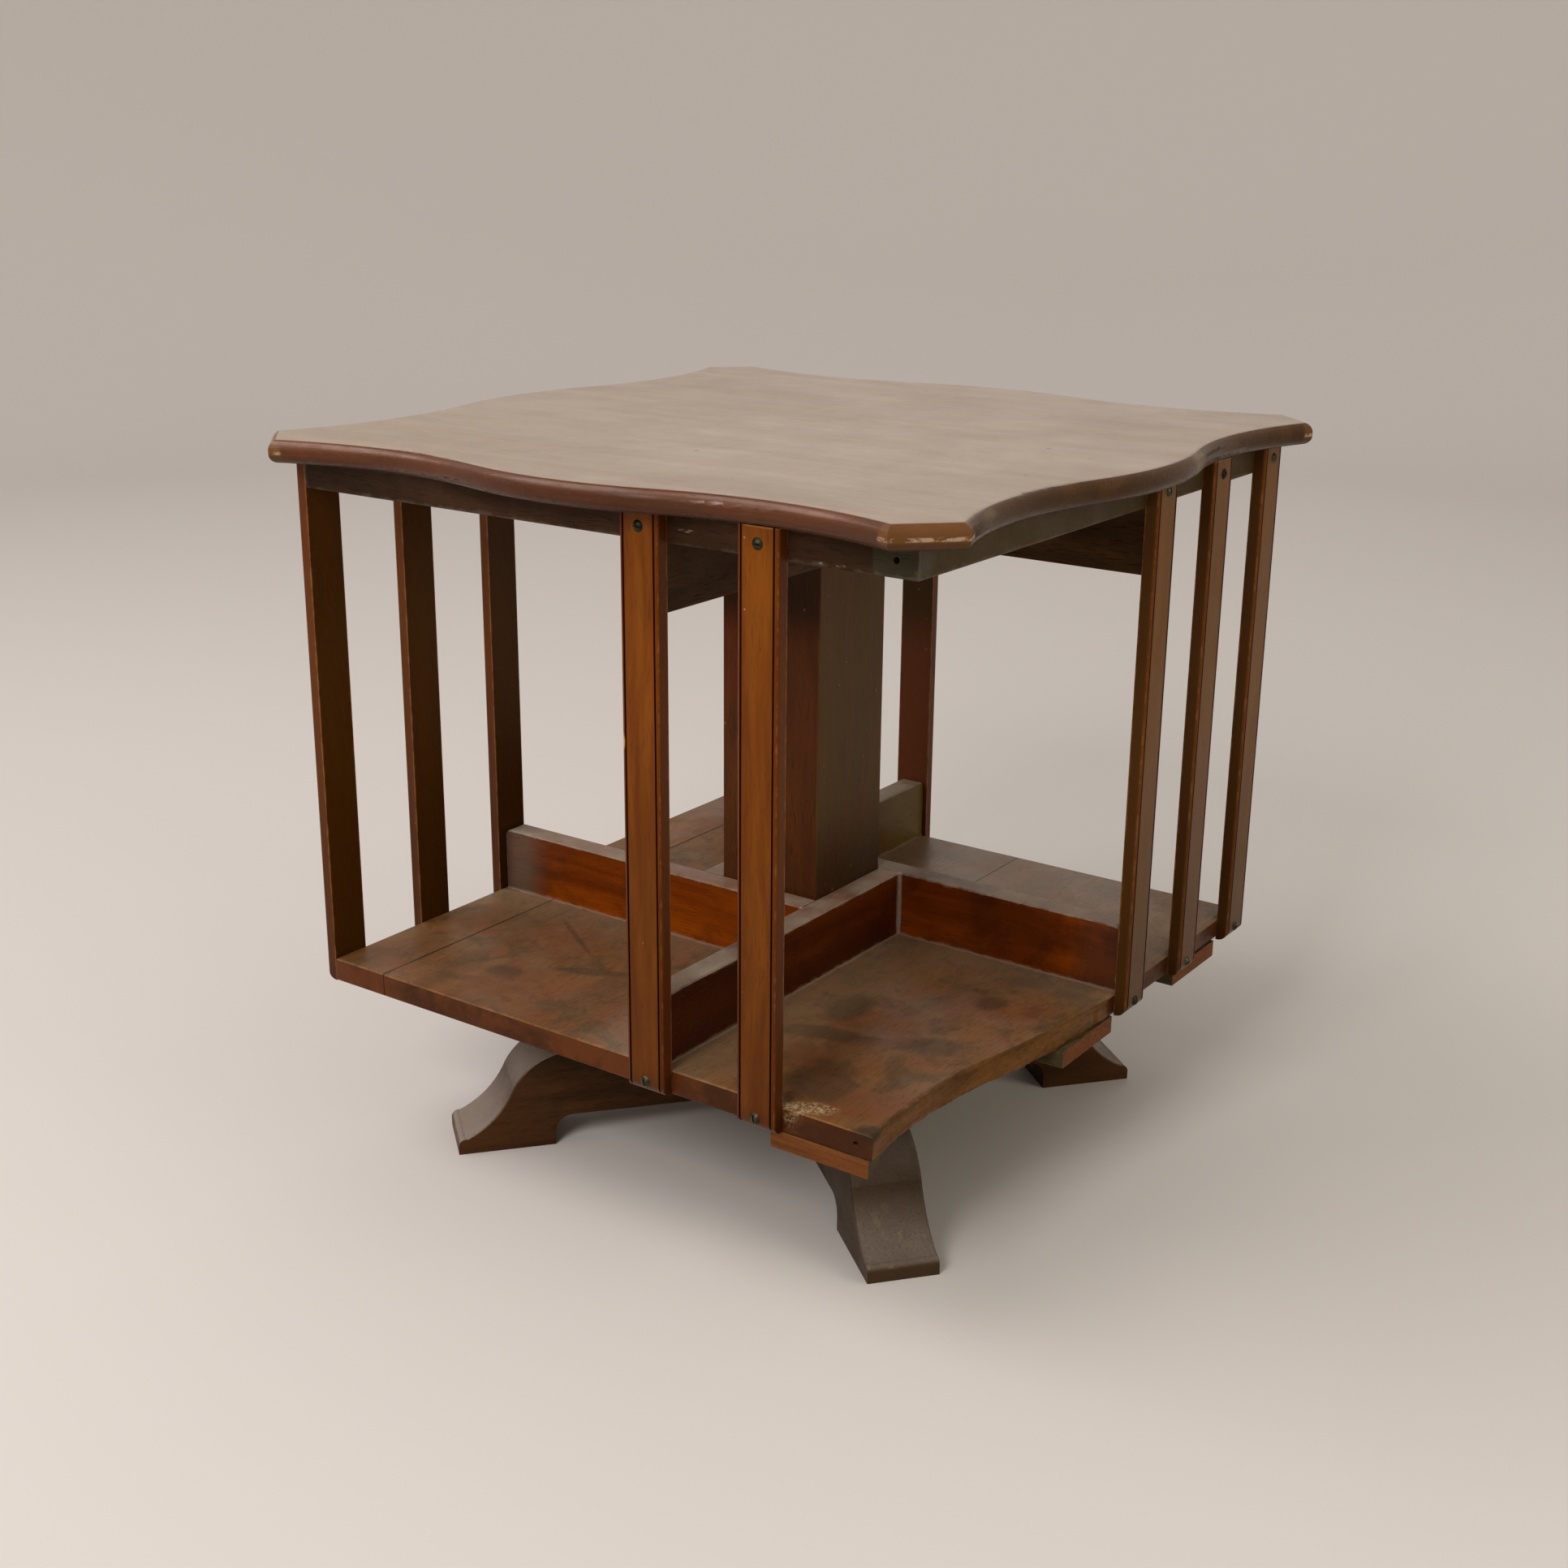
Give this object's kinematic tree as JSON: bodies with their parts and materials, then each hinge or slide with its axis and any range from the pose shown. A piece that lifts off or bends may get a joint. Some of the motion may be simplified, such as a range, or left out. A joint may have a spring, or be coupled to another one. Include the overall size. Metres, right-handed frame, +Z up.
{
  "type": "revolving desktop bookcase",
  "caption": "Square wooden bookcase for a desk top, with book bays round a hollow column, slatted sides and a moulded top, turning on a low cross-shaped base.",
  "frame": {"origin": "on the turning axis, on the surface that the feet stand on", "axes": "+Z up along the turning axis; the front side of the carousel faces -Y and its right side +X"},
  "size_m": [0.422, 0.422, 0.397],
  "materials": {
    "top_wood": "worn, dust-dulled polish on the flat, red-brown polish on the moulded edge",
    "under_board_wood": "old dark stain, scuffed and dusty",
    "slat_wood": "old amber varnish, worn on the arrises",
    "column_wood": "dark red-brown varnish, rubbed dull",
    "rail_wood": "dark red-brown varnish with dust on the upper edges",
    "shelf_wood": "worn and dusty stain, with red patches",
    "bearer_wood": "plain sawn wood, darkened with age",
    "base_wood": "dark worn stain, grey with dust and scuffs",
    "spindle_steel": "oiled dark steel",
    "bearing_brass": "tarnished brass",
    "screw_steel": "dark worn steel"
  },
  "bodies": {
    "base": {"base_beam_lower": "base_wood", "base_beam_upper": "base_wood", "base_boss": "base_wood", "spindle": "spindle_steel", "flange_screws": "screw_steel", "boss_screws": "screw_steel", "nut_washer": "spindle_steel", "spindle_nut": "spindle_steel", "thrust_washer": "bearing_brass"},
    "carousel": {"hub": "bearing_brass", "hub_screws": "screw_steel", "top_block": "bearer_wood", "spindle_cup": "bearing_brass", "bearer_middle": "bearer_wood", "bearer_back": "bearer_wood", "bearer_front": "bearer_wood", "bearer_right": "bearer_wood", "bearer_left": "bearer_wood", "shelf_plank_1": "shelf_wood", "shelf_plank_2": "shelf_wood", "shelf_plank_3": "shelf_wood", "column_panel_left": "column_wood", "column_panel_front": "column_wood", "column_panel_right": "column_wood", "column_panel_back": "column_wood", "lower_rail_left": "rail_wood", "upper_rail_left": "rail_wood", "lower_rail_front": "rail_wood", "upper_rail_front": "rail_wood", "lower_rail_right": "rail_wood", "upper_rail_right": "rail_wood", "lower_rail_back": "rail_wood", "upper_rail_back": "rail_wood", "under_board": "under_board_wood", "top_board": "top_wood", "top_screws": "screw_steel", "slat_left_corner": "slat_wood", "slat_left_middle": "slat_wood", "slat_left_rail": "slat_wood", "slat_front_middle": "slat_wood", "slat_front_rail": "slat_wood", "slat_right_corner": "slat_wood", "slat_right_middle": "slat_wood", "slat_right_rail": "slat_wood", "slat_back_corner": "slat_wood", "slat_back_middle": "slat_wood", "slat_back_rail": "slat_wood", "slat_screws": "screw_steel"}
  },
  "joints": [
    {"name": "carousel_spin", "type": "hinge", "parent": "base", "child": "carousel", "pos_m": [0, 0, 0], "axis": [0, 0, 1], "continuous": true}
  ]
}
